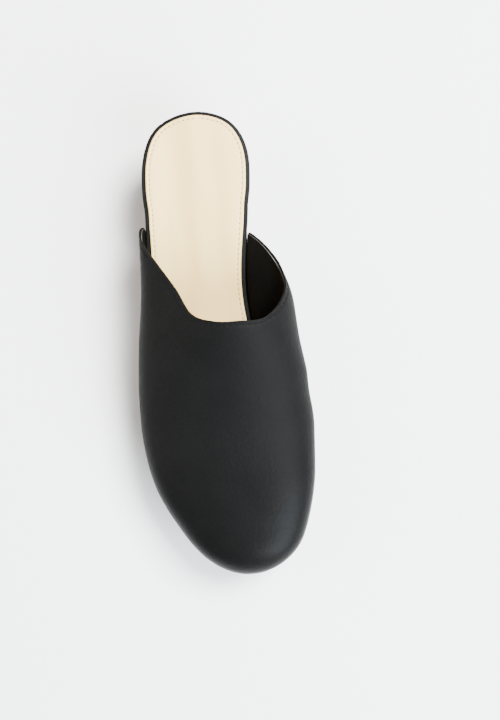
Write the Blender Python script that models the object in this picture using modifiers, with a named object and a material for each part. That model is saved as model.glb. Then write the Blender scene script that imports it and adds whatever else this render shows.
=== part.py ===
"""Right clog: black leather mule upper nailed to a wooden sole with a block heel.

The toe points along -Y, the inner (medial) side of the foot is +X and the floor is z = 0.
The origin is on the floor under the ball of the foot. All sizes are in metres.
"""
import math
from collections import namedtuple

import bmesh
import bpy
from mathutils import Matrix, Vector

# Driving sizes of the last
LENGTH = 0.246
BALL_WIDTH = 0.086
INSTEP_HEIGHT = 0.047
SEAT_HEIGHT = 0.042
BALL_HEIGHT = 0.017
FOOTBED_TOE_RISE = 0.0055

# Stations are shares of the length, counted from the back of the heel
SEAT_END_SHARE = 0.12
BALL_SHARE = 0.70
TREAD_START_SHARE = 0.48
TREAD_END_SHARE = 0.75
BREAST_SHARE = 0.27
OUTSOLE_START_SHARE = 0.45

# The footbed is flat for this share of the length behind the ball
BALL_FLAT_SHARE = 0.015

# Stations between which the outline turns round the heel and the toe
HEEL_ROUND_SHARES = (0.14, 0.05)
TOE_ROUND_SHARES = (0.70, 0.85)

# Stations between which the hollow for the foot deepens and fades, and the rim steps in
DISH_START_SHARES = (0.0, 0.10)
DISH_END_SHARES = (0.70, 0.30)
RIM_STEP_SHARES = (0.17, 0.22)

# Upper
LEATHER = 0.0016
MARGIN_DROP = 0.0125
MARGIN_TOE_DROP = 0.0113
MARGIN_OFFSET = 0.0011
WALL_SWELL = 0.0026
SWELL_HEIGHT = 0.0115
ARCH_LIFT_SHARE = 0.45

# Sole
BOARD_THICKNESS = 0.0031
SOCK_THICKNESS = 0.0010
SOCK_INSET = 0.0023
SEAT_DISH = 0.0012
OUTSOLE_THICKNESS = 0.0025
OUTSOLE_INSET = 0.0015
TOP_PIECE_THICKNESS = 0.0030
HEEL_TOP_INSET = 0.0006
HEEL_TAPER = 0.0050
ARCH_RISE = 0.020
TOE_LIFT = 0.007
SOLE_EDGE = 0.0005

# Studs
STUD_RADIUS = 0.0036
STUD_HEIGHT = 0.0019
STUD_DROP = 0.0058
STUD_STATIONS = (0.315, 0.441, 0.571, 0.723, 0.864)

# Clearance between pieces that meet
GAP = 0.0003

# Mesh fineness
LENGTH_STEPS = 52
UPPER_STEPS = 36
BOARD_COLUMNS = 7

LATERAL = "lateral"
MEDIAL = "medial"
SIDES = {LATERAL: -1.0, MEDIAL: 1.0}

# Edge of the footbed: distance of each side from the foot's axis, as shares of the ball width
OutlineRow = namedtuple("OutlineRow", "station lateral medial")
OUTLINE = (
    OutlineRow(0.00, 0.000, 0.000),
    OutlineRow(0.03, -0.242, 0.229),
    OutlineRow(0.10, -0.341, 0.317),
    OutlineRow(0.22, -0.369, 0.293),
    OutlineRow(0.38, -0.398, 0.231),
    OutlineRow(0.50, -0.450, 0.262),
    OutlineRow(0.60, -0.483, 0.380),
    OutlineRow(0.70, -0.486, 0.495),
    OutlineRow(0.80, -0.437, 0.503),
    OutlineRow(0.89, -0.317, 0.445),
    OutlineRow(0.96, -0.172, 0.345),
    OutlineRow(1.00, 0.088, 0.088),
)

# Cross sections of the upper. crown: ridge above the footbed, as a share of the instep height.
# ridge: where the ridge lies from the lateral to the medial wall. arch: how far the medial wall
# leans out over the arch, as a share of the ball width. swell: share of the swell height.
# The hollows draw the two shoulders in (positive) or fill them out (negative).
SectionRow = namedtuple("SectionRow", "station crown ridge arch swell lateral_hollow medial_hollow")
SECTIONS = (
    SectionRow(0.24, 0.50, 0.60, 0.000, 0.20, 0.12, 0.06),
    SectionRow(0.30, 0.66, 0.61, 0.100, 0.42, 0.12, 0.06),
    SectionRow(0.41, 0.90, 0.63, 0.225, 0.80, 0.13, 0.05),
    SectionRow(0.49, 1.00, 0.63, 0.222, 1.00, 0.10, 0.02),
    SectionRow(0.57, 0.92, 0.61, 0.165, 1.00, 0.06, -0.01),
    SectionRow(0.65, 0.81, 0.60, 0.077, 1.00, 0.02, -0.03),
    SectionRow(0.73, 0.71, 0.57, 0.015, 1.00, -0.01, -0.05),
    SectionRow(0.82, 0.62, 0.55, 0.000, 0.95, -0.03, -0.06),
    SectionRow(0.90, 0.53, 0.53, 0.000, 0.75, -0.03, -0.04),
    SectionRow(0.96, 0.43, 0.51, 0.000, 0.58, -0.02, -0.02),
    SectionRow(1.00, 0.12, 0.50, 0.000, 0.50, 0.00, 0.00),
)

# Topline of the upper: station at each share of the way around, from the lateral to the medial edge
ToplineRow = namedtuple("ToplineRow", "around station")
TOPLINE = (
    ToplineRow(0.00, 0.252),
    ToplineRow(0.09, 0.241),
    ToplineRow(0.20, 0.258),
    ToplineRow(0.27, 0.303),
    ToplineRow(0.35, 0.387),
    ToplineRow(0.40, 0.449),
    ToplineRow(0.46, 0.475),
    ToplineRow(0.51, 0.479),
    ToplineRow(0.58, 0.478),
    ToplineRow(0.65, 0.453),
    ToplineRow(0.73, 0.409),
    ToplineRow(0.79, 0.364),
    ToplineRow(0.85, 0.302),
    ToplineRow(0.91, 0.274),
    ToplineRow(1.00, 0.282),
)

# Shares of the way around at which the margin ends and the wall reaches its swell
MARGIN_SHARE = 0.09
SWELL_SHARE = 0.20
MARGIN_COLUMNS = 3
WALL_COLUMNS = 4
DOME_COLUMNS = 13

FinishRow = namedtuple("FinishRow", "color roughness metallic")
FINISHES = {
    "black_leather": FinishRow((0.021, 0.021, 0.021), 0.45, 0.0),
    "cream_leather": FinishRow((0.72, 0.62, 0.49), 0.50, 0.0),
    "board_leather": FinishRow((0.017, 0.016, 0.015), 0.50, 0.0),
    "wood": FinishRow((0.45, 0.27, 0.18), 0.55, 0.0),
    "rubber": FinishRow((0.55, 0.19, 0.05), 0.60, 0.0),
    "brass": FinishRow((0.80, 0.68, 0.42), 0.28, 1.0),
}


def angle_of(station):
    """Angle that turns evenly from the heel (0) to the toe (pi), for a station."""
    return math.acos(1.0 - 2.0 * station)


def station_of(angle):
    """Station of an angle, the reverse of angle_of."""
    return (1.0 - math.cos(angle)) / 2.0


def smooth(value, start=0.0, end=1.0):
    """Smooth step from 0 at the start to 1 at the end, held beyond both. The end may be the lower."""
    step = min(1.0, max(0.0, (value - start) / (end - start)))
    return step * step * (3.0 - 2.0 * step)


def hermite(places, values, place):
    """Smooth curve through the values, held beyond the first and last place."""
    if place <= places[0]:
        return values[0]
    if place >= places[-1]:
        return values[-1]
    last = len(places) - 1
    first = max(k for k in range(last) if places[k] <= place)

    def slope(k):
        before, after = max(0, k - 1), min(last, k + 1)
        return (values[after] - values[before]) / (places[after] - places[before])

    width = places[first + 1] - places[first]
    t = (place - places[first]) / width
    return (
        (2.0 * t ** 3 - 3.0 * t ** 2 + 1.0) * values[first]
        + (t ** 3 - 2.0 * t ** 2 + t) * width * slope(first)
        + (3.0 * t ** 2 - 2.0 * t ** 3) * values[first + 1]
        + (t ** 3 - t ** 2) * width * slope(first + 1)
    )


def column(rows, name, angle):
    """Value of a table's column at an angle along the last."""
    return hermite([angle_of(row.station) for row in rows], [getattr(row, name) for row in rows], angle)


def edge_point(side, angle):
    """Point of the footbed's edge, in plan."""
    return Vector((
        column(OUTLINE, side, angle) * BALL_WIDTH,
        (BALL_SHARE - station_of(angle)) * LENGTH,
    ))


def square_to_edge(side, angle):
    """Direction in plan that leads out of the footbed, square to its edge."""
    if angle in (0.0, math.pi):
        return Vector((0.0, math.cos(angle)))
    step = 0.001
    run = (edge_point(side, angle + step) - edge_point(side, angle - step)).normalized()
    return Vector((-run.y, run.x)) * SIDES[side]


def outward(side, angle):
    """Direction in plan in which outlines are offset: square to the edge at the heel and toe, and
    straight across the shoe along its waist."""
    square = square_to_edge(side, angle)
    station = station_of(angle)
    lengthwise = smooth(station, *HEEL_ROUND_SHARES) + smooth(station, *TOE_ROUND_SHARES)
    return Vector((square.x, square.y * lengthwise)).normalized()


def footbed_height(station):
    """Height of the footbed's edge."""
    heel = smooth(station, BALL_SHARE - BALL_FLAT_SHARE, SEAT_END_SHARE)
    toe = max(0.0, (station - BALL_SHARE) / (1.0 - BALL_SHARE)) ** 2
    return BALL_HEIGHT + (SEAT_HEIGHT - BALL_HEIGHT) * heel + FOOTBED_TOE_RISE * toe


def tread_height(station):
    """Height of the sole's underside: flat under the forefoot, raised at the arch and the toe."""
    arch = smooth(station, TREAD_START_SHARE, BREAST_SHARE)
    toe = max(0.0, (station - TREAD_END_SHARE) / (1.0 - TREAD_END_SHARE)) ** 2
    return ARCH_RISE * arch + TOE_LIFT * toe


def dish_depth(station, across):
    """Depth of the hollow for the foot, deepest in the middle of the seat."""
    along = smooth(station, *DISH_START_SHARES) * smooth(station, *DISH_END_SHARES)
    return SEAT_DISH * math.sin(math.pi * across) ** 2 * along


def rim_inset(station):
    """How far the rim lies inside the footbed's edge, so that the leather wraps round it."""
    return (LEATHER + GAP - MARGIN_OFFSET) * smooth(station, *RIM_STEP_SHARES)


def ring_point(side, angle, inset):
    """Point of an outline that runs inside the footbed's edge."""
    return edge_point(side, angle) - outward(side, angle) * inset


def station_at(point):
    """Station of a point, from its place along the shoe."""
    return BALL_SHARE - point.y / LENGTH


def finish(name):
    """Material of a finish, made once."""
    material = bpy.data.materials.get(name)
    if material is None:
        row = FINISHES[name]
        material = bpy.data.materials.new(name)
        material.use_nodes = True
        shader = material.node_tree.nodes["Principled BSDF"]
        shader.inputs["Base Color"].default_value = (*row.color, 1.0)
        shader.inputs["Roughness"].default_value = row.roughness
        shader.inputs["Metallic"].default_value = row.metallic
        material.diffuse_color = (*row.color, 1.0)
    return material


def add_object(name, mesh, finish_name, parts):
    """Object of a mesh, in the parts' collection."""
    if not mesh.materials:
        mesh.materials.append(finish(finish_name))
    piece = bpy.data.objects.new(name, mesh)
    parts.objects.link(piece)
    return piece


def mesh_from(shape, name, sharp_angle=math.radians(40.0)):
    """Mesh of a bmesh, shaded smooth up to the sharp angle."""
    mesh = bpy.data.meshes.new(name)
    shape.to_mesh(mesh)
    shape.free()
    mesh.shade_smooth()
    mesh.set_sharp_from_angle(angle=sharp_angle)
    return mesh


def loft(loops, name):
    """Closed mesh through loops of points that all have the same count.

    The first and last loop are capped, unless they close on a tip without width.
    """
    shape = bmesh.new()
    rows = [[shape.verts.new(point) for point in loop] for loop in loops]
    count = len(rows[0])
    for before, after in zip(rows, rows[1:]):
        for k in range(count):
            after_k = (k + 1) % count
            shape.faces.new((before[k], before[after_k], after[after_k], after[k]))
    for row in (rows[0], rows[-1]):
        if max(vert.co.x for vert in row) - min(vert.co.x for vert in row) > GAP:
            shape.faces.new(row)
    bmesh.ops.remove_doubles(shape, verts=shape.verts, dist=1e-6)
    bmesh.ops.dissolve_degenerate(shape, edges=shape.edges, dist=1e-6)
    bmesh.ops.triangulate(shape, faces=[face for face in shape.faces if len(face.verts) > 4])
    bmesh.ops.recalc_face_normals(shape, faces=shape.faces)
    if shape.calc_volume(signed=True) < 0.0:
        bmesh.ops.reverse_faces(shape, faces=shape.faces)
    return mesh_from(shape, name)


def layer(name, rings, first, last, columns=2):
    """Closed layer of the sole between two stations.

    rings run from the top edge to the bottom edge, each with its inset (a function of the station)
    and its height (a function of the station and of the share across). The top and the bottom are
    columns points wide. All layers share their rows, so that facing layers stay a gap apart.
    """
    start, end = angle_of(first), angle_of(last)
    shared = [math.pi * step / LENGTH_STEPS for step in range(LENGTH_STEPS + 1)]
    clear = math.pi / LENGTH_STEPS / 4.0
    angles = [start] + [angle for angle in shared if start + clear < angle < end - clear] + [end]
    top, bottom = rings[0], rings[-1]

    def across(ring, angle, share):
        inset, height = ring
        gap = inset(station_of(angle))
        place = ring_point(LATERAL, angle, gap).lerp(ring_point(MEDIAL, angle, gap), share)
        return Vector((place.x, place.y, height(station_at(place), share)))

    loops = []
    shares = [k / (columns - 1) for k in range(columns)]
    for angle in angles:
        loop = [across(top, angle, share) for share in shares]
        loop += [across(ring, angle, 1.0) for ring in rings[1:-1]]
        loop += [across(bottom, angle, share) for share in reversed(shares)]
        loop += [across(ring, angle, 0.0) for ring in reversed(rings[1:-1])]
        loops.append(loop)
    return loft(loops, name)


def board_top(station, across):
    """Upper face of the footbed board."""
    return footbed_height(station) - dish_depth(station, across)


def board_base(station, across):
    """Underside of the footbed board."""
    return footbed_height(station) - BOARD_THICKNESS


def wood_top(station, across):
    """Upper face of the platform and the heel block."""
    return board_base(station, across) - GAP


def wood_base(station, across):
    """Underside of the platform."""
    return tread_height(station) + OUTSOLE_THICKNESS + GAP


def make_board(parts):
    """Black board under the sock, with a soft upper and lower edge."""
    soft = SOLE_EDGE
    rings = (
        (lambda s: rim_inset(s) + soft, board_top),
        (rim_inset, lambda s, a: footbed_height(s) - soft),
        (rim_inset, lambda s, a: board_base(s, a) + soft),
        (lambda s: rim_inset(s) + soft, board_base),
    )
    mesh = layer("footbed_board", rings, 0.0, 1.0, BOARD_COLUMNS)
    return add_object("footbed_board", mesh, "board_leather", parts)


def make_sock(parts):
    """Cream sock that lies in the hollow of the board."""
    soft = SOCK_THICKNESS / 2.0
    rings = (
        (lambda s: rim_inset(s) + SOCK_INSET + soft, lambda s, a: board_top(s, a) + GAP + SOCK_THICKNESS),
        (lambda s: rim_inset(s) + SOCK_INSET, lambda s, a: board_top(s, a) + GAP + soft),
        (lambda s: rim_inset(s) + SOCK_INSET, lambda s, a: board_top(s, a) + GAP),
    )
    mesh = layer("sock", rings, 0.0, 1.0, BOARD_COLUMNS)
    return add_object("sock", mesh, "cream_leather", parts)


def make_platform(parts):
    """Wooden sole from the heel's breast to the toe."""
    soft = SOLE_EDGE
    rings = (
        (rim_inset, wood_top),
        (rim_inset, lambda s, a: wood_base(s, a) + OUTSOLE_THICKNESS),
        (lambda s: OUTSOLE_INSET - soft, lambda s, a: wood_base(s, a) + soft),
        (lambda s: OUTSOLE_INSET, wood_base),
    )
    mesh = layer("platform", rings, BREAST_SHARE, 1.0)
    return add_object("platform", mesh, "wood", parts)


def make_outsole(parts):
    """Rubber sheet under the forefoot."""
    soft = SOLE_EDGE
    rings = (
        (lambda s: OUTSOLE_INSET, lambda s, a: wood_base(s, a) - GAP),
        (lambda s: OUTSOLE_INSET, lambda s, a: tread_height(s) + soft),
        (lambda s: OUTSOLE_INSET + soft, lambda s, a: tread_height(s)),
    )
    mesh = layer("forefoot_outsole", rings, OUTSOLE_START_SHARE, 1.0)
    return add_object("forefoot_outsole", mesh, "rubber", parts)


def heel_inset(share):
    """Inset of the heel's side, from its foot (0) to its top (1)."""
    return HEEL_TAPER + (HEEL_TOP_INSET - HEEL_TAPER) * share


def make_heel(parts):
    """Wooden heel block that narrows towards the floor."""
    foot = TOP_PIECE_THICKNESS + GAP

    def side(share):
        inset = heel_inset(share)
        return (
            lambda s: inset + rim_inset(s) * share,
            lambda s, a: foot + (wood_top(s, a) - foot) * share,
        )

    rings = tuple(side(share) for share in (1.0, 0.5, 0.0))
    front = BREAST_SHARE - GAP / LENGTH
    mesh = layer("heel_block", rings, 0.0, front)
    return add_object("heel_block", mesh, "wood", parts)


def make_top_piece(parts):
    """Rubber sheet under the heel."""
    soft = SOLE_EDGE
    rings = (
        (lambda s: HEEL_TAPER, lambda s, a: TOP_PIECE_THICKNESS),
        (lambda s: HEEL_TAPER, lambda s, a: soft),
        (lambda s: HEEL_TAPER + soft, lambda s, a: 0.0),
    )
    front = BREAST_SHARE - GAP / LENGTH
    mesh = layer("heel_top_piece", rings, 0.0, front)
    return add_object("heel_top_piece", mesh, "rubber", parts)


def swell_point(side, angle):
    """Point where the wall stands furthest out, over one side."""
    arch = column(SECTIONS, "arch", angle) * BALL_WIDTH if side == MEDIAL else 0.0
    place = edge_point(side, angle) + outward(side, angle) * WALL_SWELL + Vector((arch, 0.0))
    rise = column(SECTIONS, "swell", angle) * SWELL_HEIGHT + ARCH_LIFT_SHARE * arch
    return Vector((place.x, place.y, footbed_height(station_of(angle)) + rise))


def upper_point(around, angle):
    """Point of the upper's outer face.

    around runs from the lateral margin's lower edge (0) over the ridge (0.5) to the medial one (1).
    """
    side = LATERAL if around <= 0.5 else MEDIAL
    share = around if side == LATERAL else 1.0 - around
    station = station_of(angle)
    rim = footbed_height(station)
    margin = edge_point(side, angle) + outward(side, angle) * MARGIN_OFFSET
    if share < MARGIN_SHARE:
        drop = MARGIN_DROP + (MARGIN_TOE_DROP - MARGIN_DROP) * smooth(station, BALL_SHARE, 1.0)
        return Vector((margin.x, margin.y, rim - drop * (1.0 - share / MARGIN_SHARE)))
    swell = swell_point(side, angle)
    if share < SWELL_SHARE:
        climb = (share - MARGIN_SHARE) / (SWELL_SHARE - MARGIN_SHARE)
        place = margin.lerp(swell.xy, math.sin(climb * math.pi / 2.0))
        return Vector((place.x, place.y, rim + (swell.z - rim) * climb))
    other = swell_point(MEDIAL if side == LATERAL else LATERAL, angle)
    lateral, medial = (swell, other) if side == LATERAL else (other, swell)
    ridge = lateral.xy.lerp(medial.xy, column(SECTIONS, "ridge", angle))
    crown = max(rim + column(SECTIONS, "crown", angle) * INSTEP_HEIGHT, swell.z)
    turn = (share - SWELL_SHARE) / (0.5 - SWELL_SHARE) * math.pi / 2.0
    hollow = column(SECTIONS, side + "_hollow", angle)
    fullness = 1.0 - hollow * math.sin(2.0 * turn) ** 2
    place = ridge + (swell.xy - ridge) * math.cos(turn) * fullness
    return Vector((place.x, place.y, swell.z + (crown - swell.z) * math.sin(turn) * fullness))


def topline_angle(around):
    """Angle at which the upper ends, for a share of the way around."""
    return hermite([row.around for row in TOPLINE], [angle_of(row.station) for row in TOPLINE], around)


def shares_around():
    """Shares of the way around at which the upper's columns lie."""
    half = [MARGIN_SHARE * k / MARGIN_COLUMNS for k in range(MARGIN_COLUMNS)]
    half += [MARGIN_SHARE + (SWELL_SHARE - MARGIN_SHARE) * k / WALL_COLUMNS for k in range(WALL_COLUMNS)]
    half += [SWELL_SHARE + (0.5 - SWELL_SHARE) * k / DOME_COLUMNS for k in range(DOME_COLUMNS)]
    return half + [0.5] + [1.0 - share for share in reversed(half)]


def make_upper(parts):
    """Leather upper: an open skin over the last, thickened inwards."""
    shape = bmesh.new()
    rows = []
    for step in range(UPPER_STEPS + 1):
        row = []
        for around in shares_around():
            angle = math.pi - (math.pi - topline_angle(around)) * step / UPPER_STEPS
            row.append(shape.verts.new(upper_point(around, angle)))
        rows.append(row)
    for before, after in zip(rows, rows[1:]):
        for k in range(len(before) - 1):
            shape.faces.new((before[k], after[k], after[k + 1], before[k + 1]))
    bmesh.ops.remove_doubles(shape, verts=shape.verts, dist=1e-6)
    bmesh.ops.dissolve_degenerate(shape, edges=shape.edges, dist=1e-6)
    bmesh.ops.recalc_face_normals(shape, faces=shape.faces)
    top = max(shape.faces, key=lambda face: face.calc_center_median().z)
    if top.normal.z < 0.0:
        bmesh.ops.reverse_faces(shape, faces=shape.faces)
    upper = add_object("upper", mesh_from(shape, "upper"), "black_leather", parts)
    wall = upper.modifiers.new("wall", "SOLIDIFY")
    wall.thickness = LEATHER
    wall.offset = -1.0
    wall.use_even_offset = True
    return upper


def stud_mesh():
    """Domed stud head, flat at its base, with its base at the origin and its dome along +Z."""
    shape = bmesh.new()
    bmesh.ops.create_uvsphere(shape, u_segments=16, v_segments=8, radius=STUD_RADIUS)
    lower = [vert for vert in shape.verts if vert.co.z < -0.1 * STUD_RADIUS]
    bmesh.ops.delete(shape, geom=lower, context="VERTS")
    bmesh.ops.holes_fill(shape, edges=shape.edges, sides=0)
    bmesh.ops.scale(shape, verts=shape.verts, vec=(1.0, 1.0, STUD_HEIGHT / STUD_RADIUS))
    bmesh.ops.recalc_face_normals(shape, faces=shape.faces)
    return mesh_from(shape, "stud")


def make_studs(parts):
    """Studs through the margin, in pairs along both sides and one at the toe."""
    mesh = stud_mesh()
    places = [(side, station) for side in (LATERAL, MEDIAL) for station in STUD_STATIONS]
    places.append((LATERAL, 1.0))
    for number, (side, station) in enumerate(places, start=1):
        angle = angle_of(station)
        direction = square_to_edge(side, angle)
        foot = edge_point(side, angle) + outward(side, angle) * MARGIN_OFFSET + direction * GAP
        stud = add_object(f"stud_{number:02d}", mesh, "brass", parts)
        turn = Vector((direction.x, direction.y, 0.0)).to_track_quat("Z", "Y").to_matrix().to_4x4()
        height = footbed_height(station) - STUD_DROP
        stud.matrix_world = Matrix.Translation((foot.x, foot.y, height)) @ turn


def main():
    """Clear the scene and model the clog."""
    for item in list(bpy.data.objects):
        bpy.data.objects.remove(item, do_unlink=True)
    parts = bpy.data.collections.new("clog")
    bpy.context.scene.collection.children.link(parts)
    make_outsole(parts)
    make_top_piece(parts)
    make_platform(parts)
    make_heel(parts)
    make_board(parts)
    make_sock(parts)
    make_upper(parts)
    make_studs(parts)


main()
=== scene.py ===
"""Looks of a right clog: black leather upper, studs, cream sock and a wooden sole with rubber treads.

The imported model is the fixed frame. Everything is in metres, toe along -Y, floor at z = 0.
"""
import logging
import math
from dataclasses import dataclass
from enum import Enum
from typing import Any, Callable, NamedTuple, Sequence

import bmesh
import bpy
import numpy as np
from mathutils import Matrix, Vector


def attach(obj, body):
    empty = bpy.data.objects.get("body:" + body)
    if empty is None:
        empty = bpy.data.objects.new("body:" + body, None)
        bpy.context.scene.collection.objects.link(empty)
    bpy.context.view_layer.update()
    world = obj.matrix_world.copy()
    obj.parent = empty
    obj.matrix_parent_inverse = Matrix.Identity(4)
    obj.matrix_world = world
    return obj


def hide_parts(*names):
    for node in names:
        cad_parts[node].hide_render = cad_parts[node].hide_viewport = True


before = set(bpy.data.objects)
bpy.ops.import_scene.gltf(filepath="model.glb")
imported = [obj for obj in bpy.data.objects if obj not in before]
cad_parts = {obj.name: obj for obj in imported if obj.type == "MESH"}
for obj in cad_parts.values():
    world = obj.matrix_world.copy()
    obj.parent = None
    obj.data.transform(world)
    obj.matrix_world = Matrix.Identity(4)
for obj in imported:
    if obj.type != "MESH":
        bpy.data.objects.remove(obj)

LOG = logging.getLogger("clog")
MM = 0.001
WELD_DISTANCE = 1e-6
SHARP_ANGLE = math.radians(50.0)
Array = np.ndarray
Triple = tuple[float, float, float]
Color = Triple
Curve = Callable[[Array], Any]
Surface = Callable[[Array, Array], Array]
Shape = bmesh.types.BMesh
Piece = bpy.types.Object
Material = bpy.types.Material
Socket = bpy.types.NodeSocket


class Side(Enum):
    """Side of the foot, with the sign of its X direction."""

    LATERAL = -1.0
    MEDIAL = 1.0


class OutlineRow(NamedTuple):
    """Distance of both edges of the footbed from the foot's axis, as shares of the ball width."""

    station: float
    lateral: float
    medial: float


class SectionRow(NamedTuple):
    """Cross section of the upper, in shares of the last's named sizes."""

    station: float
    crown: float
    ridge: float
    arch: float
    swell: float
    lateral_hollow: float
    medial_hollow: float


class ToplineRow(NamedTuple):
    """Station at which the upper ends, for a share of the way around it."""

    around: float
    station: float


OUTLINE = tuple(OutlineRow(*row) for row in (
    (0.00, 0.000, 0.000),
    (0.03, -0.242, 0.229),
    (0.10, -0.341, 0.317),
    (0.22, -0.369, 0.293),
    (0.38, -0.398, 0.231),
    (0.50, -0.450, 0.262),
    (0.60, -0.483, 0.380),
    (0.70, -0.486, 0.495),
    (0.80, -0.437, 0.503),
    (0.89, -0.317, 0.445),
    (0.96, -0.172, 0.345),
    (1.00, 0.088, 0.088),
))
SECTIONS = tuple(SectionRow(*row) for row in (
    (0.24, 0.50, 0.60, 0.000, 0.20, 0.12, 0.06),
    (0.30, 0.66, 0.61, 0.100, 0.42, 0.12, 0.06),
    (0.41, 0.90, 0.63, 0.225, 0.80, 0.13, 0.05),
    (0.49, 1.00, 0.63, 0.222, 1.00, 0.10, 0.02),
    (0.57, 0.92, 0.61, 0.165, 1.00, 0.06, -0.01),
    (0.65, 0.81, 0.60, 0.077, 1.00, 0.02, -0.03),
    (0.73, 0.71, 0.57, 0.015, 1.00, -0.01, -0.05),
    (0.82, 0.62, 0.55, 0.000, 0.95, -0.03, -0.06),
    (0.90, 0.53, 0.53, 0.000, 0.75, -0.03, -0.04),
    (0.96, 0.43, 0.51, 0.000, 0.58, -0.02, -0.02),
    (1.00, 0.12, 0.50, 0.000, 0.50, 0.00, 0.00),
))
TOPLINE = tuple(ToplineRow(*row) for row in (
    (0.00, 0.252),
    (0.09, 0.241),
    (0.20, 0.258),
    (0.27, 0.303),
    (0.35, 0.387),
    (0.40, 0.449),
    (0.46, 0.475),
    (0.51, 0.479),
    (0.58, 0.478),
    (0.65, 0.453),
    (0.73, 0.409),
    (0.79, 0.364),
    (0.85, 0.302),
    (0.91, 0.274),
    (1.00, 0.282),
))


def smooth(value: Array, start: float = 0.0, end: float = 1.0) -> Array:
    """Smooth step from 0 at the start to 1 at the end, which may be the lower."""
    held = np.clip((value - start) / (end - start), 0.0, 1.0)
    return held * held * (3.0 - 2.0 * held)


def bump_at(distance: Array, width: float) -> Array:
    """Soft hump of height 1 at distance 0 that fades out over a width."""
    return np.exp(-((distance / width) ** 2))


def hermite(places: Sequence[float], values: Sequence[float], at: Array) -> Array:
    """Smooth curve through values, held beyond its ends.

    Args:
        places: where the values lie, rising.
        values: the values there.
        at: where the curve is read.

    Returns:
        The curve's value at each place asked for.
    """
    p, v = np.asarray(places, float), np.asarray(values, float)
    slope = np.empty_like(v)
    slope[1:-1] = (v[2:] - v[:-2]) / (p[2:] - p[:-2])
    slope[0] = (v[1] - v[0]) / (p[1] - p[0])
    slope[-1] = (v[-1] - v[-2]) / (p[-1] - p[-2])
    held = np.clip(np.asarray(at, float), p[0], p[-1])
    k = np.clip(np.searchsorted(p, held, side="right") - 1, 0, len(p) - 2)
    width = p[k + 1] - p[k]
    t = (held - p[k]) / width
    return (
        (2 * t ** 3 - 3 * t ** 2 + 1) * v[k]
        + (t ** 3 - 2 * t ** 2 + t) * width * slope[k]
        + (3 * t ** 2 - 2 * t ** 3) * v[k + 1]
        + (t ** 3 - t ** 2) * width * slope[k + 1]
    )


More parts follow.
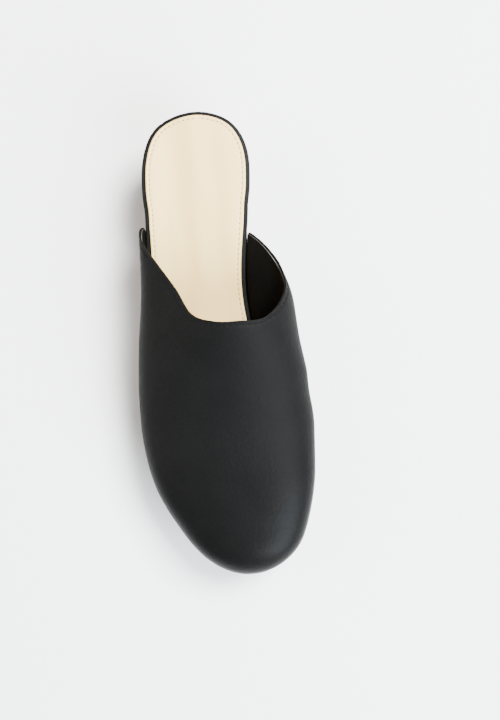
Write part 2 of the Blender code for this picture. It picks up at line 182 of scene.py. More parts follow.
@dataclass(frozen=True)
class Last:
    """Form that the clog is made over, with the sizes that its pieces share."""

    length: float = 0.246
    ball_width: float = 0.086
    instep_height: float = 0.047
    seat_height: float = 0.042
    ball_height: float = 0.017
    toe_rise: float = 0.0055
    seat_end: float = 0.12
    ball_share: float = 0.70
    ball_flat: float = 0.015
    tread_start: float = 0.48
    tread_end: float = 0.75
    breast_share: float = 0.27
    outsole_start: float = 0.45
    heel_round: tuple[float, float] = (0.14, 0.05)
    toe_round: tuple[float, float] = (0.70, 0.85)
    dish_start: tuple[float, float] = (0.0, 0.10)
    dish_end: tuple[float, float] = (0.70, 0.30)
    rim_step: tuple[float, float] = (0.17, 0.22)
    leather: float = 0.0016
    board: float = 0.0031
    margin_drop: float = 0.0125
    margin_toe_drop: float = 0.0113
    margin_offset: float = 0.0011
    wall_swell: float = 0.0026
    swell_height: float = 0.0115
    arch_lift: float = 0.45
    arch_rise: float = 0.020
    toe_lift: float = 0.007
    seat_dish: float = 0.0012
    gap: float = 0.0003
    margin_share: float = 0.09
    swell_share: float = 0.20
    wall_soft: float = 0.10

    def angle_of(self, station: Any) -> Array:
        """Angle that turns evenly from the heel (0) to the toe (pi), for a station."""
        return np.arccos(1.0 - 2.0 * np.asarray(station, float))

    def station_of(self, angle: Array) -> Array:
        """Station of an angle."""
        return (1.0 - np.cos(angle)) / 2.0

    def station_at(self, y: Array) -> Array:
        """Station of a place along the shoe."""
        return self.ball_share - y / self.length

    def column(self, rows: Sequence[Any], name: str, angle: Array) -> Array:
        """Values of a table's column at angles along the last."""
        places = self.angle_of([row.station for row in rows])
        return hermite(places, [getattr(row, name) for row in rows], angle)

    def edge(self, side: Side, angle: Array) -> Array:
        """Points of the footbed's edge in plan, one row each."""
        across = self.column(OUTLINE, side.name.lower(), angle) * self.ball_width
        along = (self.ball_share - self.station_of(angle)) * self.length
        return np.stack([across, along], axis=-1)

    def square(self, side: Side, angle: Array) -> Array:
        """Directions in plan that lead out of the footbed, square to its edge."""
        step = 0.001
        run = self.edge(side, angle + step) - self.edge(side, angle - step)
        run /= np.linalg.norm(run, axis=-1, keepdims=True)
        out = np.stack([-run[..., 1], run[..., 0]], axis=-1) * side.value
        tip = (angle < step) | (angle > math.pi - step)
        out[tip] = np.stack([np.zeros(int(tip.sum())), np.cos(angle[tip])], axis=-1)
        return out

    def outward(self, side: Side, angle: Array) -> Array:
        """Directions in plan in which outlines are offset."""
        square = self.square(side, angle)
        station = self.station_of(angle)
        lengthwise = smooth(station, *self.heel_round) + smooth(station, *self.toe_round)
        out = np.stack([square[..., 0], square[..., 1] * lengthwise], axis=-1)
        return out / np.linalg.norm(out, axis=-1, keepdims=True)

    def ring(self, side: Side, angle: Array, inset: Array) -> Array:
        """Points of an outline inside the footbed's edge."""
        return self.edge(side, angle) - self.outward(side, angle) * np.asarray(inset)[..., None]

    def footbed(self, station: Array) -> Array:
        """Height of the footbed's edge."""
        heel = smooth(station, self.ball_share - self.ball_flat, self.seat_end)
        toe = np.maximum(0.0, (station - self.ball_share) / (1.0 - self.ball_share)) ** 2
        return self.ball_height + (self.seat_height - self.ball_height) * heel + self.toe_rise * toe

    def tread(self, station: Array) -> Array:
        """Height of the sole's underside."""
        arch = smooth(station, self.tread_start, self.breast_share)
        toe = np.maximum(0.0, (station - self.tread_end) / (1.0 - self.tread_end)) ** 2
        return self.arch_rise * arch + self.toe_lift * toe

    def dish(self, plan: Array) -> Array:
        """Depth of the hollow for the foot at points in plan."""
        station = np.clip(self.station_at(plan[:, 1]), 0.0, 1.0)
        angle = self.angle_of(station)
        lateral, medial = (self.edge(side, angle)[:, 0] for side in Side)
        across = np.clip((plan[:, 0] - lateral) / np.maximum(medial - lateral, MM), 0.0, 1.0)
        along = smooth(station, *self.dish_start) * smooth(station, *self.dish_end)
        return self.seat_dish * np.sin(math.pi * across) ** 2 * along

    def rim_inset(self, station: Array) -> Array:
        """How far the rim lies inside the footbed's edge where the leather wraps round it."""
        return (self.leather + self.gap - self.margin_offset) * smooth(station, *self.rim_step)

    def swell(self, side: Side, angle: Array) -> Array:
        """Points where the wall of the upper stands furthest out."""
        arch = np.zeros_like(angle)
        if side is Side.MEDIAL:
            arch = self.column(SECTIONS, "arch", angle) * self.ball_width
        place = self.edge(side, angle) + self.outward(side, angle) * self.wall_swell
        rise = self.column(SECTIONS, "swell", angle) * self.swell_height + self.arch_lift * arch
        height = self.footbed(self.station_of(angle)) + rise
        return np.stack([place[..., 0] + arch, place[..., 1], height], axis=-1)

    def topline(self, around: Array) -> Array:
        """Angles at which the upper ends."""
        places = [row.around for row in TOPLINE]
        return hermite(places, self.angle_of([row.station for row in TOPLINE]), around)

    def half_skin(self, side: Side, share: Array, angle: Array) -> Array:
        """Points of the upper on one side, share running from the margin's edge (0) to the ridge (0.5)."""
        station = self.station_of(angle)
        rim = self.footbed(station)
        margin = self.edge(side, angle) + self.outward(side, angle) * self.margin_offset
        near = self.swell(side, angle)
        far = self.swell(Side(-side.value), angle)
        blend = smooth(station, self.ball_share, 1.0)
        drop = self.margin_drop + (self.margin_toe_drop - self.margin_drop) * blend
        low = np.column_stack([margin, rim - drop * (1.0 - share / self.margin_share)])
        climb = (share - self.margin_share) / (self.swell_share - self.margin_share)
        start = np.clip(climb, 0.0, 1.0)
        soft = start ** 2 * (1.0 + self.wall_soft) / (start + self.wall_soft)
        lean = np.sin(soft * math.pi / 2.0)[:, None]
        wall_plan = margin + (near[:, :2] - margin) * lean
        wall = np.column_stack([wall_plan, rim + (near[:, 2] - rim) * climb])
        ridge_share = self.column(SECTIONS, "ridge", angle)[:, None]
        lateral, medial = (near, far) if side is Side.LATERAL else (far, near)
        ridge = lateral[:, :2] + (medial[:, :2] - lateral[:, :2]) * ridge_share
        crown = rim + self.column(SECTIONS, "crown", angle) * self.instep_height
        crown = np.maximum(crown, near[:, 2])
        turn = np.clip((share - self.swell_share) / (0.5 - self.swell_share), 0.0, 1.0) * math.pi / 2.0
        hollow = self.column(SECTIONS, side.name.lower() + "_hollow", angle)
        full = 1.0 - hollow * np.sin(2.0 * turn) ** 2
        dome_plan = ridge + (near[:, :2] - ridge) * (np.cos(turn) * full)[:, None]
        dome = np.column_stack([dome_plan, near[:, 2] + (crown - near[:, 2]) * np.sin(turn) * full])
        in_margin = (share < self.margin_share)[:, None]
        in_wall = (share < self.swell_share)[:, None]
        return np.where(in_margin, low, np.where(in_wall, wall, dome))

    def skin(self, around: Array, angle: Array) -> Array:
        """Points of the upper's outer face, around it from the lateral margin (0) to the medial (1)."""
        lateral = self.half_skin(Side.LATERAL, np.minimum(around, 0.5), angle)
        medial = self.half_skin(Side.MEDIAL, np.minimum(1.0 - around, 0.5), angle)
        return np.where((around <= 0.5)[:, None], lateral, medial)

    def skin_normal(self, around: Array, angle: Array) -> Array:
        """Directions that lead straight out of the upper's outer face."""
        step = 0.002
        low, high = np.clip(around - step, 0.0, 1.0), np.clip(around + step, 0.0, 1.0)
        across = self.skin(high, angle) - self.skin(low, angle)
        along = self.skin(around, angle + step) - self.skin(around, angle - step)
        normal = np.cross(along, across)
        return normal / np.linalg.norm(normal, axis=-1, keepdims=True)

    def below_topline(self, around: Array, distance: float) -> Array:
        """Angles that lie a distance in front of the topline, measured on the leather."""
        top = self.topline(around)
        step = 0.004
        run = self.skin(around, top + step) - self.skin(around, top)
        low, high = np.clip(around - step, 0.0, 1.0), np.clip(around + step, 0.0, 1.0)
        turn = self.topline(high) - self.topline(low)
        across = self.skin(high, top) - self.skin(low, top)
        line = across + run * (turn / step)[:, None]
        line /= np.linalg.norm(line, axis=-1, keepdims=True)
        clear = run - (run * line).sum(axis=-1, keepdims=True) * line
        return top + distance * step / np.linalg.norm(clear, axis=-1)


def operator(operation: str, reflected: bool = False) -> Callable[["Value", Any], "Value"]:
    """Method that joins a Value and another term, in reverse if reflected, by a math node."""

    def join(value: "Value", other: Any) -> "Value":
        terms = (other, value) if reflected else (value, other)
        node = value.graph.node("ShaderNodeMath", {"operation": operation}, dict(enumerate(terms)))
        return Value(value.graph, node.outputs[0])

    return join


class Value:
    """Number socket of a shader that takes part in Python expressions."""

    __add__ = __radd__ = operator("ADD")
    __sub__ = operator("SUBTRACT")
    __rsub__ = operator("SUBTRACT", reflected=True)
    __mul__ = __rmul__ = operator("MULTIPLY")

    def __init__(self, graph: "Graph", socket: Socket) -> None:
        """Wrap a socket of a graph."""
        self.graph = graph
        self.socket = socket

    def above(self, start: float, end: float) -> "Value":
        """Smooth step from 0 at start to 1 at end."""
        settings = {"interpolation_type": "SMOOTHSTEP"}
        inputs = {"Value": self, "From Min": start, "From Max": end}
        node = self.graph.node("ShaderNodeMapRange", settings, inputs)
        return Value(self.graph, node.outputs["Result"])


class Graph:
    """Node graph of one material or of the world."""

    def __init__(self, owner: Material | bpy.types.World) -> None:
        """Start the graph of a new material or world, on its only shader."""
        self.owner = owner
        owner.use_nodes = True
        self.nodes = owner.node_tree.nodes
        self.links = owner.node_tree.links
        self.shader = self.nodes.get("Principled BSDF") or self.nodes["Background"]

    @classmethod
    def material(cls, name: str) -> "Graph":
        """Graph of a new material."""
        return cls(bpy.data.materials.new(name))

    def node(self, kind: str, settings: dict[str, Any], inputs: dict[Any, Any]) -> bpy.types.Node:
        """Make a node.

        Args:
            kind: the node's type.
            settings: attributes to set before its sockets; a list under "stops" fills a colour ramp.
            inputs: values, sockets or Values for its input sockets, by name or number.

        Returns:
            The node.
        """
        node = self.nodes.new(kind)
        for key, value in settings.items():
            if key == "stops":
                self._fill_ramp(node.color_ramp, value)
            else:
                setattr(node, key, value)
        for key, value in inputs.items():
            self.feed(node.inputs[key], value)
        return node

    def feed(self, target: Socket, value: Any) -> None:
        """Link a socket or Value to a target, or set the target's own value."""
        if isinstance(value, Value):
            self.links.new(value.socket, target)
        elif isinstance(value, Socket):
            self.links.new(value, target)
        else:
            target.default_value = value

    @staticmethod
    def _fill_ramp(ramp: bpy.types.ColorRamp, stops: Sequence[tuple[float, Color]]) -> None:
        """Give a colour ramp its stops."""
        while len(ramp.elements) < len(stops):
            ramp.elements.new(0.5)
        for element, (position, color) in zip(ramp.elements, stops):
            element.position = position
            element.color = (*color, 1.0)

    def place(self, scale: Sequence[float] = (1.0, 1.0, 1.0)) -> Socket:
        """Object coordinates, stretched."""
        coordinates = self.node("ShaderNodeTexCoord", {}, {}).outputs["Object"]
        return self.node("ShaderNodeMapping", {}, {"Vector": coordinates, "Scale": scale}).outputs[0]

    def axis(self, place: Socket, name: str) -> Value:
        """One coordinate of a place."""
        return Value(self, self.node("ShaderNodeSeparateXYZ", {}, {0: place}).outputs[name])

    def noise(self, place: Socket, scale: float, detail: float = 2.0, twist: float = 0.0) -> Value:
        """Noise from 0 to 1 at a scale in cells a metre."""
        inputs = {"Vector": place, "Scale": scale, "Detail": detail, "Distortion": twist}
        return Value(self, self.node("ShaderNodeTexNoise", {}, inputs).outputs[0])

    def cells(self, place: Socket, scale: float) -> Value:
        """Distance in a pattern of cells."""
        node = self.node("ShaderNodeTexVoronoi", {}, {"Vector": place, "Scale": scale})
        return Value(self, node.outputs["Distance"])

    def blend(self, factor: Value, low: Any, high: Any) -> Socket:
        """Colour between two colours."""
        node = self.node("ShaderNodeMix", {"data_type": "RGBA"}, {0: factor})
        for socket, color in ((node.inputs[6], low), (node.inputs[7], high)):
            self.feed(socket, (*color, 1.0) if isinstance(color, tuple) else color)
        return node.outputs[2]

    def bump(self, height: Value, distance: float) -> Socket:
        """Normal from a height pattern, distance being the depth of a height of 1."""
        inputs = {"Height": height, "Distance": distance, "Strength": 1.0}
        return self.node("ShaderNodeBump", {}, inputs).outputs["Normal"]

    def close(self, **sockets: Any) -> Material | bpy.types.World:
        """Feed the shader's sockets, named with underscores for blanks, and return the owner."""
        for key, value in sockets.items():
            target = self.shader.inputs[key.replace("_", " ")]
            if isinstance(value, tuple) and len(value) == 3:
                value = (*value, 1.0)
            self.feed(target, value)
        return self.owner


@dataclass(frozen=True)
class LeatherFinish:
    """Smooth finished leather."""

    name: str
    color: Color
    tint: Color
    roughness: float = 0.48
    polish: float = 0.0
    grain_depth: float = 0.00004
    grain_scale: float = 900.0
    cloud_scale: float = 35.0
    toe_span: tuple[float, float] = (0.025, -0.055)
    specular: float = 0.04

    def material(self) -> Material:
        """Material with fine pores, a faint cloudy tint and a gloss that may rise towards the toe."""
        graph = Graph.material(self.name)
        place = graph.place()
        cloud = graph.noise(place, self.cloud_scale, 3.0)
        pores = graph.cells(place, self.grain_scale)
        fine = graph.noise(place, self.grain_scale * 1.9, 3.0)
        height = pores * 0.6 + fine * 0.4
        toe = graph.axis(place, "Y").above(*self.toe_span)
        return graph.close(
            Base_Color=graph.blend(cloud.above(0.3, 0.7), self.color, self.tint),
            Roughness=cloud * 0.08 + fine * 0.06 + (self.roughness - 0.07) - toe * self.polish,
            Normal=graph.bump(height, self.grain_depth),
            Specular_IOR_Level=self.specular,
        )


@dataclass(frozen=True)
class SockFinish:
    """Cream sock leather whose colour carries soft darker and paler bands along the foot, which are
    painted reflections.
    """

    name: str = "sock_cream"
    color: Color = (0.72, 0.51, 0.20)
    # Dark colour of the painted reflection bands; pale below is the colour of the painted light streaks.
    painted_reflection_band: Color = (0.56, 0.36, 0.115)
    pale: Color = (0.76, 0.57, 0.27)

    def material(self) -> Material:
        """Material with soft lengthwise bands of painted reflection, fine grain and a satin gloss."""
        graph = Graph.material(self.name)
        place = graph.place()
        along = graph.place((1.0, 0.10, 1.0))
        # Darker and paler lengthwise bands in the base colour are painted reflections of the dished face,
        # not a tone of the leather.
        painted_reflection_bands = graph.noise(along, 60.0, 1.0).above(0.35, 0.75)
        pale = graph.noise(along, 38.0, 1.0, 0.3).above(0.5, 0.8)
        fine = graph.noise(place, 1500.0, 3.0)
        pores = graph.cells(place, 1100.0)
        tone = graph.blend(painted_reflection_bands, self.color, self.painted_reflection_band)
        return graph.close(
            # Paler streaks laid over the bands: painted reflection as well.
            Base_Color=graph.blend(pale, tone, self.pale),
            Roughness=fine * 0.10 + 0.40,
            Normal=graph.bump(pores * 0.5 + fine * 0.5, 0.00003),
            Specular_IOR_Level=0.3,
        )


@dataclass(frozen=True)
class WoodFinish:
    """Thinly varnished wood whose grain runs along one direction."""

    name: str
    pale: Color
    dark: Color
    pore: Color
    along: Triple
    roughness: float = 0.52

    def material(self) -> Material:
        """Material with broad streaks, fine fibres and short open pores along the grain."""
        graph = Graph.material(self.name)
        broad = graph.noise(graph.place(self.along), 110.0, 3.0, 0.4)
        fibre = graph.noise(graph.place(self.along), 700.0, 4.0)
        pores = graph.noise(graph.place(tuple(3.0 * a if a < 1 else a for a in self.along)), 900.0, 1.0)
        speckle = pores.above(0.60, 0.70)
        tone = graph.blend(broad.above(0.32, 0.68), self.pale, self.dark)
        tone = graph.blend(fibre.above(0.4, 0.8) * 0.5, tone, self.dark)
        return graph.close(
            Base_Color=graph.blend(speckle * 0.55, tone, self.pore),
            Roughness=fibre * 0.15 + (self.roughness - 0.07),
            Normal=graph.bump(fibre - speckle * 0.6, 0.00006),
            Specular_IOR_Level=0.15,
        )


@dataclass(frozen=True)
class RubberFinish:
    """Matt crepe-coloured rubber."""

    name: str
    color: Color
    pale: Color
    roughness: float = 0.50

    def material(self) -> Material:
        """Material with cloudy patches of two tones and a fine skin."""
        graph = Graph.material(self.name)
        place = graph.place()
        cloud = graph.noise(place, 70.0, 4.0, 0.6).above(0.35, 0.7)
        fine = graph.noise(place, 2500.0, 2.0)
        return graph.close(
            Base_Color=graph.blend(cloud, self.color, self.pale),
            Roughness=fine * 0.12 + (self.roughness - 0.06),
            Normal=graph.bump(fine, 0.00003),
            Specular_IOR_Level=0.15,
        )


@dataclass(frozen=True)
class BrassFinish:
    """Polished pale gold metal."""

    name: str = "stud_brass"
    color: Color = (0.83, 0.70, 0.46)

    def material(self) -> Material:
        """Material with a faint uneven polish."""
        graph = Graph.material(self.name)
        fine = graph.noise(graph.place(), 900.0, 2.0)
        return graph.close(
            Base_Color=self.color,
            Metallic=1.0,
            Roughness=fine * 0.10 + 0.16,
            Normal=graph.bump(fine, 0.00001),
        )


@dataclass(frozen=True)
class ThreadFinish:
    """Twisted sewing thread."""

    name: str
    color: Color
    dark: Color

    def material(self) -> Material:
        """Material with a fine twist."""
        graph = Graph.material(self.name)
        twist = graph.noise(graph.place(), 2600.0, 2.0)
        return graph.close(
            Base_Color=graph.blend(twist, self.dark, self.color),
            Roughness=0.75,
            Normal=graph.bump(twist, 0.00005),
            Specular_IOR_Level=0.10,
        )


def grid(columns: int, rows: int, place: Surface) -> Shape:
    """Grid whose points are laid on a surface.

    Args:
        columns: steps across.
        rows: steps along.
        place: gives the points for shares across and along, each from 0 to 1.

    Returns:
        The laid grid, with its seams not yet joined.
    """
    shape = bmesh.new()
    bmesh.ops.create_grid(shape, x_segments=columns, y_segments=rows, size=0.5)
    flat = np.array([vert.co[:2] for vert in shape.verts]) + 0.5
    for vert, point in zip(shape.verts, place(flat[:, 0], flat[:, 1])):
        vert.co = point
    return shape


def weld(shape: Shape) -> None:
    """Join the seams of a shape and turn a closed one's faces outwards."""
    bmesh.ops.remove_doubles(shape, verts=shape.verts, dist=WELD_DISTANCE)
    bmesh.ops.dissolve_degenerate(shape, edges=shape.edges, dist=WELD_DISTANCE)
    bmesh.ops.recalc_face_normals(shape, faces=shape.faces)


def finish_object(shape: Shape, name: str, *materials: Material) -> Piece:
    """Object of a shape, shaded smooth and linked to the scene."""
    mesh = bpy.data.meshes.new(name)
    shape.to_mesh(mesh)
    shape.free()
    mesh.shade_smooth()
    for material in materials:
        mesh.materials.append(material)
    piece = bpy.data.objects.new(name, mesh)
    bpy.context.scene.collection.objects.link(piece)
    return piece


def settle(piece: Piece, slot: str, *nodes: str) -> Piece:
    """Ride a piece on the shoe, hide the nodes that it stands for, and log it with its slot."""
    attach(piece, "root")
    if nodes:
        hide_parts(*nodes)
    LOG.info("%s: %d faces, slot %s, replaces %s", piece.name, len(piece.data.polygons), slot, nodes)
    return piece


def stitch_row(points: Array, normals: Array, pitch: float, size: Triple, phase: float = 0.5) -> Shape:
    """Row of sewn stitches along a line.

    Args:
        points: the line's points, close together.
        normals: direction out of the sewn face at each point.
        pitch: distance from one stitch to the next.
        size: half length, half width and half height of a stitch.
        phase: share of the pitch at which the first one lies.

    Returns:
        All the stitches in one shape.
    """
    runs = np.linalg.norm(np.diff(points, axis=0), axis=1)
    length = np.concatenate([[0.0], np.cumsum(runs)])
    shape = bmesh.new()
    for k in range(int(length[-1] / pitch)):
        middle = (k + phase) * pitch
        centre, ahead, up = (
            Vector([np.interp(at, length, column) for column in source.T])
            for at, source in ((middle, points), (middle + 0.2 * pitch, points), (middle, normals))
        )
        forward = (ahead - centre).normalized()
        up = (up - forward * up.dot(forward)).normalized()
        turn = Matrix((forward, up.cross(forward), up)).transposed().to_4x4()
        stretch = Matrix.Diagonal((*size, 1.0))
        matrix = Matrix.Translation(centre) @ turn @ stretch
        bmesh.ops.create_uvsphere(shape, u_segments=8, v_segments=6, radius=1.0, matrix=matrix)
    return shape


@dataclass
class UpperPiece:
    """Leather upper with its lining, folded topline and seam."""

    last: Last
    studs: "Studs"
    columns: int = 200
    rows: int = 170
    outer: float = 0.0011
    lining_gap: float = 0.00005
    lining_drop: float = 0.0009
    lining_low: float = 0.012
    seam_distance: float = 0.0020
    seam_depth: float = 0.00030
    seam_width: float = 0.0007
    stitch_pitch: float = 0.0031
    stitch_size: Triple = (0.00120, 0.00030, 0.00030)
    stitch_seat: float = 0.75
    stitched: tuple[float, float, int] = (0.06, 0.94, 1200)
    fold_share: float = 0.42
    fold_segments: int = 3
    fold_angle: float = math.radians(55.0)
    stud_pull: float = 0.00035
    stud_pull_width: float = 0.0050
    crowding: float = 1.35

    def _angles(self, around: Array, along: Array, drop: float) -> Array:
        """Angles of points between the toe (along 0) and a line below the topline (along 1)."""
        top = self.last.below_topline(around, drop) if drop else self.last.topline(around)
        return math.pi - (math.pi - top) * (1.0 - (1.0 - along) ** self.crowding)

    def _surface(self, around: Array, along: Array) -> Array:
        """Outer face with the seam's trough under the topline."""
        angle = self._angles(around, along, 0.0)
        points = self.last.skin(around, angle)
        away = along > 0.5
        normal = self.last.skin_normal(around[away], angle[away])
        seam = self.last.below_topline(around[away], self.seam_distance)
        reach = self.last.skin(around[away], seam)
        distance = np.linalg.norm(points[away] - reach, axis=-1)
        points[away] -= normal * (bump_at(distance, self.seam_width) * self.seam_depth)[:, None]
        for foot, out in self.studs.places():
            distance = np.linalg.norm(points - np.array(foot), axis=-1)
            pull = self.stud_pull * bump_at(distance, self.stud_pull_width)
            points -= np.array(out) * pull[:, None]
        return points

    @staticmethod
    def _skin(columns: int, rows: int, place: Surface) -> Shape:
        """Open skin laid on a surface, with its top face looking up."""
        shape = grid(columns, rows, place)
        weld(shape)
        top = max(shape.faces, key=lambda face: face.calc_center_median().z)
        if top.normal.z < 0.0:
            bmesh.ops.reverse_faces(shape, faces=shape.faces)
        return shape

    @staticmethod
    def _thicken(piece: Piece, thickness: float) -> bpy.types.Modifier:
        """Give a skin its wall, inwards."""
        wall = piece.modifiers.new("wall", "SOLIDIFY")
        wall.thickness = thickness
        wall.offset = -1.0
        return wall

    def _leather(self, material: Material) -> None:
        """Outer leather with its folded edge."""
        shape = self._skin(self.columns, self.rows, self._surface)
        piece = finish_object(shape, "upper_leather", material)
        wall = self._thicken(piece, self.outer)
        wall.use_even_offset = True
        fold = piece.modifiers.new("fold", "BEVEL")
        fold.width = self.outer * self.fold_share
        fold.segments = self.fold_segments
        fold.limit_method = "ANGLE"
        fold.angle_limit = self.fold_angle
        settle(piece, "black_leather", "upper")

    def _lining(self, material: Material, edge: Material) -> None:
        """Lining inside the leather, with its cut edge just under the topline; the edge's pale colour is
        partly the raw cut leather and partly a painted highlight of the rolled topline.
        """
        low, high = self.lining_low, 1.0 - self.lining_low

        def inside(across: Array, along: Array) -> Array:
            around = low + (high - low) * across
            return self.last.skin(around, self._angles(around, along, self.lining_drop))

        shape = self._skin(self.columns * 3 // 4, self.rows // 2, inside)
        shape.normal_update()
        for vert in shape.verts:
            vert.co -= vert.normal * (self.outer + self.lining_gap)
        piece = finish_object(shape, "upper_lining", material, edge)
        thickness = self.last.leather - self.outer - self.lining_gap
        wall = self._thicken(piece, thickness)
        # The rim takes the pale cut-edge colour, which is partly a painted highlight.
        wall.material_offset_rim = 1
        settle(piece, "black_leather")

    def _seam(self, material: Material) -> None:
        """Row of stitches along the topline."""
        around = np.linspace(*self.stitched)
        angle = self.last.below_topline(around, self.seam_distance)
        normals = self.last.skin_normal(around, angle)
        points = self.last.skin(around, angle) - normals * (self.seam_depth * self.stitch_seat)
        shape = stitch_row(points, normals, self.stitch_pitch, self.stitch_size)
        settle(finish_object(shape, "topline_stitching", material), "black_leather")

    def build(self) -> None:
        """Make the leather, the lining and the seam."""
        leather = LeatherFinish("upper_black", (0.0030, 0.0030, 0.0030), (0.0036, 0.0036, 0.0036),
                                roughness=0.58, polish=0.21, grain_depth=0.00012, grain_scale=520.0)
        lining = LeatherFinish("lining_dark", (0.0012, 0.0011, 0.0009), (0.0024, 0.0019, 0.0013), 0.65)
        # Pale colour of the lining's cut edge: partly raw cut leather, partly a painted highlight on the
        # folded topline.
        cut_edge_and_highlight = LeatherFinish("lining_cut_and_painted_highlight", (0.085, 0.082, 0.074), (0.13, 0.126, 0.112), 0.6)
        thread = ThreadFinish("thread_black", (0.0035, 0.0035, 0.0038), (0.0015, 0.0015, 0.0015))
        self._leather(leather.material())
        self._lining(lining.material(), cut_edge_and_highlight.material())
        self._seam(thread.material())


class Knot(NamedTuple):
    """Point of a layer's edge: its inset from the footbed's edge by station, its height by plan."""

    inset: Curve
    height: Curve


@dataclass
class Layer:
    """Layer of the sole: a top and a bottom of some columns, joined by an edge of knots."""

    last: Last
    name: str
    edge: Sequence[Knot]
    first: float
    end: float
    rows: int
    top_columns: int = 10
    bottom_columns: int = 4

    def _row_point(self, angle: Array, knot: Knot, share: float) -> Array:
        """Points of one loop column for all rows."""
        inset = knot.inset(self.last.station_of(angle)) + np.zeros_like(angle)
        lateral = self.last.ring(Side.LATERAL, angle, inset)
        medial = self.last.ring(Side.MEDIAL, angle, inset)
        plan = lateral + (medial - lateral) * share
        return np.column_stack([plan, knot.height(plan) + np.zeros_like(angle)])

    def shape(self) -> Shape:
        """Closed shape of the layer."""
        top, bottom = self.edge[0], self.edge[-1]
        loop: list[tuple[Knot, float]] = []
        loop += [(top, k / self.top_columns) for k in range(self.top_columns + 1)]
        loop += [(knot, 1.0) for knot in self.edge[1:-1]]
        loop += [(bottom, 1.0 - k / self.bottom_columns) for k in range(self.bottom_columns + 1)]
        loop += [(knot, 0.0) for knot in reversed(self.edge[1:-1])]
        loop.append(loop[0])
        start, end = (float(self.last.angle_of(s)) for s in (self.first, self.end))

        def lay(across: Array, along: Array) -> Array:
            points = np.empty((len(across), 3))
            column = np.rint(across * (len(loop) - 1)).astype(int)
            for k, (knot, share) in enumerate(loop):
                here = column == k
                points[here] = self._row_point(start + (end - start) * along[here], knot, share)
            return points

        shape = grid(len(loop) - 1, self.rows, lay)
        weld(shape)
        rim = [edge for edge in shape.edges if edge.is_boundary]
        if rim:
            bmesh.ops.holes_fill(shape, edges=rim, sides=0)
            bmesh.ops.recalc_face_normals(shape, faces=shape.faces)
        return shape

    def build(self, material: Material, slot: str, *nodes: str) -> Piece:
        """Object of the layer, settled on the shoe."""
        piece = finish_object(self.shape(), self.name, material)
        piece.data.set_sharp_from_angle(angle=SHARP_ANGLE)
        return settle(piece, slot, *nodes)


def rounded(inset: Curve, top: Curve, base: Curve, radius: float, steps: int = 4) -> list[Knot]:
    """Edge of a layer with both corners rounded, from top to bottom.

    Args:
        inset: inset of the edge by station.
        top: height of the upper face.
        base: height of the lower face.
        radius: radius of both corners.
        steps: facets of each corner.

    Returns:
        The edge's knots.
    """

    def corner(face: Curve, way: float, turn: float) -> Knot:
        draw, drop = radius * (1.0 - math.sin(turn)), way * radius * (1.0 - math.cos(turn))
        return Knot(lambda s: inset(s) + draw, lambda plan: face(plan) + drop)

    turns = [math.pi / 2.0 * k / steps for k in range(steps + 1)]
    upper = [corner(top, -1.0, turn) for turn in turns]
    return upper + [corner(base, 1.0, turn) for turn in reversed(turns)]


